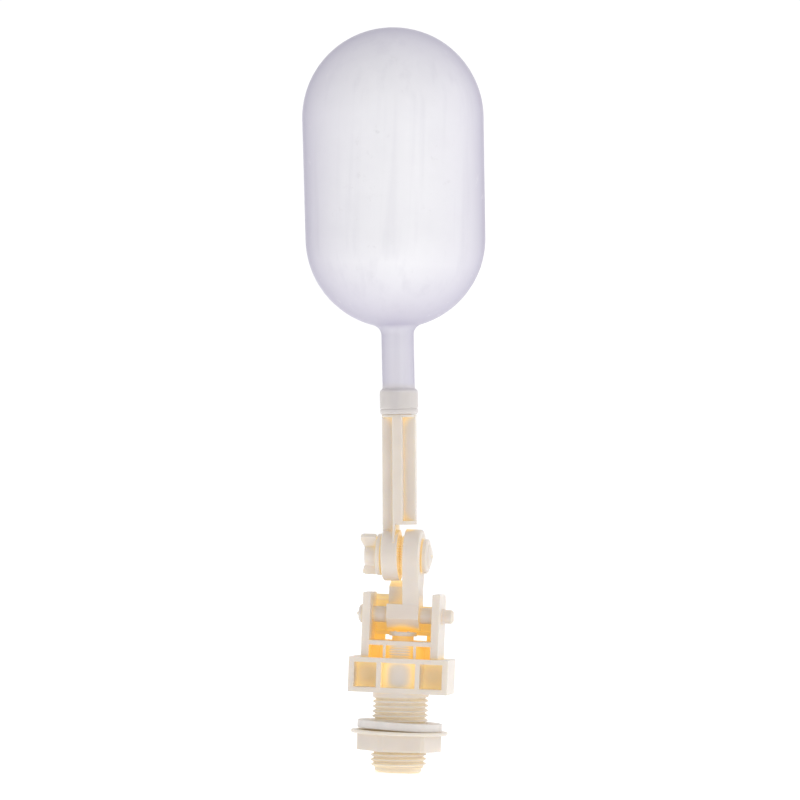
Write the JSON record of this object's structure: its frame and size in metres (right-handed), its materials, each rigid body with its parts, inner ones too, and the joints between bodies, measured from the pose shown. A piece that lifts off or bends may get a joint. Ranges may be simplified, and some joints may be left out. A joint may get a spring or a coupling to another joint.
{
  "type": "float valve",
  "caption": "Plastic float valve: threaded inlet shank with flange nut and gasket, yoke body, cam lever, clamped arm and long hollow float.",
  "frame": {"origin": "on the inlet bore's axis, in the underside of the flange block that meets the tank wall", "axes": "+Z along the shank towards the float; +X along the pivot pin and the knuckle bolt, from the wing nut to the bolt head; -Y is the open side of the yoke"},
  "size_m": [0.0704, 0.068, 0.2787],
  "materials": {
    "body_plastic": "cream translucent acetal, satin",
    "float_plastic": "milky translucent polyethylene, satin",
    "gasket_rubber": "soft white rubber",
    "seal_rubber": "black nitrile rubber"
  },
  "bodies": {
    "valve": {"valve_body": "body_plastic", "pivot_pin": "body_plastic"},
    "lever": {"lever": "body_plastic", "knuckle_bolt": "body_plastic"},
    "arm": {"float_arm": "body_plastic", "float_shell": "float_plastic"},
    "thumb_washer": {"thumb_washer": "body_plastic"},
    "wing_nut": {"wing_nut": "body_plastic"},
    "plunger": {"plunger": "body_plastic", "seal_disc": "seal_rubber"},
    "gasket": {"tank_gasket": "gasket_rubber"},
    "flange_nut": {"flange_nut": "body_plastic"}
  },
  "joints": [
    {"name": "lever_pivot", "type": "hinge", "parent": "valve", "child": "lever", "pos_m": [0, 0, 0.029], "axis": [1, 0, 0], "range_deg": [0, 45]},
    {"name": "plunger_lift", "type": "slide", "parent": "valve", "child": "plunger", "axis": [0, 0, 1], "range_m": [0, 0.0016]},
    {"name": "arm_angle", "type": "hinge", "parent": "lever", "child": "arm", "pos_m": [0, 0, 0.0513], "axis": [1, 0, 0], "range_deg": [-90, 90]},
    {"name": "thumb_washer_slide", "type": "slide", "parent": "lever", "child": "thumb_washer", "axis": [-1, 0, 0], "range_m": [0, 0.004]},
    {"name": "wing_nut_turn", "type": "hinge", "parent": "thumb_washer", "child": "wing_nut", "pos_m": [0, 0, 0.0513], "axis": [-1, 0, 0], "range_deg": [0, 1441]},
    {"name": "gasket_slide", "type": "slide", "parent": "valve", "child": "gasket", "axis": [0, 0, 1], "range_m": [-0.008, 0.01025]},
    {"name": "flange_nut_turn", "type": "hinge", "parent": "gasket", "child": "flange_nut", "pos_m": [0, 0, 0], "axis": [0, 0, 1], "range_deg": [-1588, 2036]}
  ],
  "couplings": [
    {"joint": "plunger_lift", "follows": "lever_pivot", "m_per_rad": 0.002},
    {"joint": "wing_nut_turn", "follows": "thumb_washer_slide", "rad_per_m": 6283.2},
    {"joint": "flange_nut_turn", "follows": "gasket_slide", "rad_per_m": 3463.2}
  ]
}
